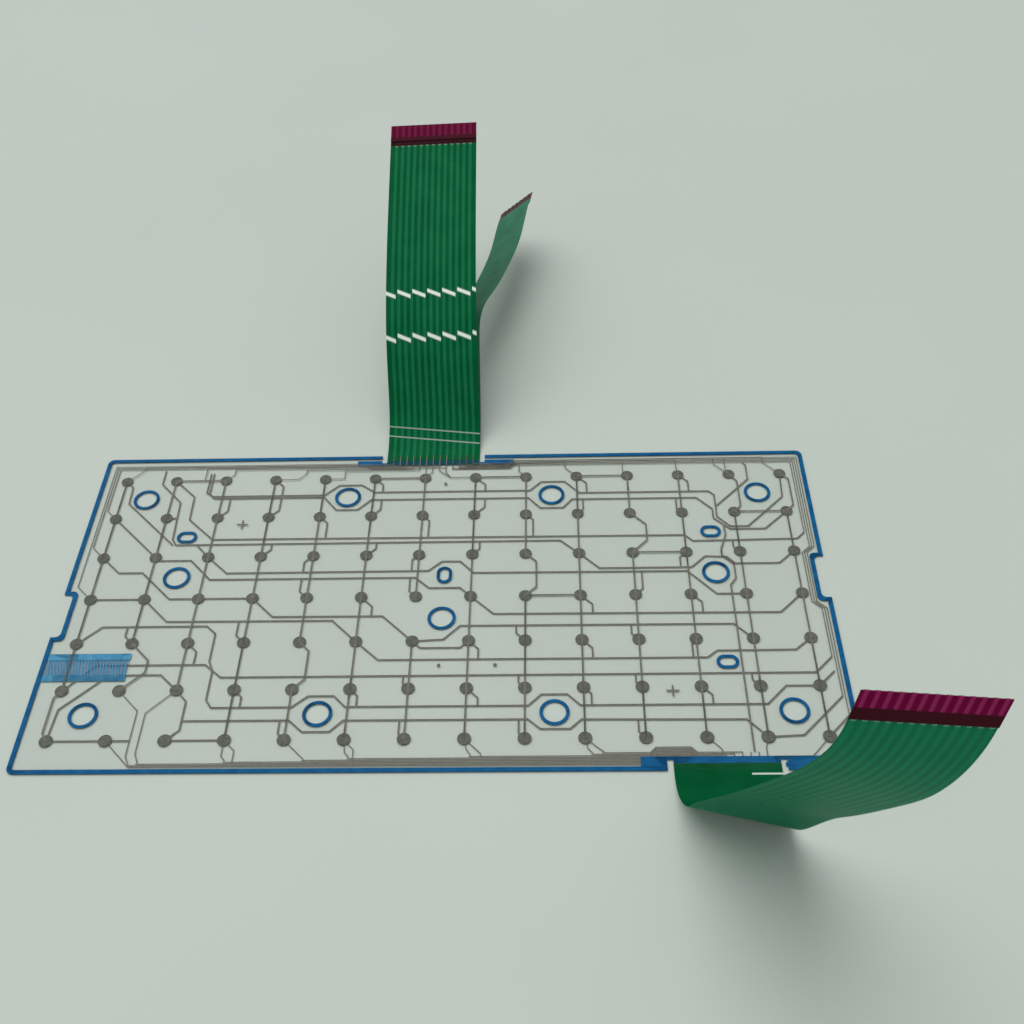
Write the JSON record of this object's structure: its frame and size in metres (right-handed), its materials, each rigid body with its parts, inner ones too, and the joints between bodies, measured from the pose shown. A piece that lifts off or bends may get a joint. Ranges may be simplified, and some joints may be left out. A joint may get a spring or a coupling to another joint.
{
  "type": "membrane keypad",
  "caption": "Membrane keypad sheet: printed circuit films on a spacer film, with blue seal lines, round boss holes, locating slots and green ribbon tails with stiffened ends.",
  "frame": {"origin": "centre of the key grid on the sheet's back face", "axes": "+X along the rows of keys, +Y towards the edge with the two rear tails, +Z out of the upper film"},
  "size_m": [0.267, 0.3385, 0.1249],
  "materials": {
    "film": "clear polyester film",
    "silver_ink": "printed silver",
    "carbon_ink": "printed carbon",
    "seal_ink": "printed seal",
    "green_coat": "printed insulating coat",
    "stiffener": "laminated polyester"
  },
  "bodies": {
    "root": {"lower_film": "film", "lower_traces": "silver_ink", "lower_key_pads": "carbon_ink", "lower_seal": "seal_ink", "vent_walls": "seal_ink", "spacer_film": "film", "upper_seal": "seal_ink", "upper_key_pads": "carbon_ink", "upper_traces": "silver_ink", "upper_film": "film", "long_tail_film": "film", "long_tail_conductors": "silver_ink", "long_tail_coat": "green_coat", "long_tail_contacts": "carbon_ink", "long_tail_stiffener": "stiffener", "front_tail_film": "film", "front_tail_conductors": "silver_ink", "front_tail_coat": "green_coat", "front_tail_contacts": "carbon_ink", "front_tail_stiffener": "stiffener", "short_tail_film": "film", "short_tail_conductors": "silver_ink", "short_tail_coat": "green_coat", "short_tail_contacts": "carbon_ink", "short_tail_stiffener": "stiffener"}
  },
  "joints": []
}
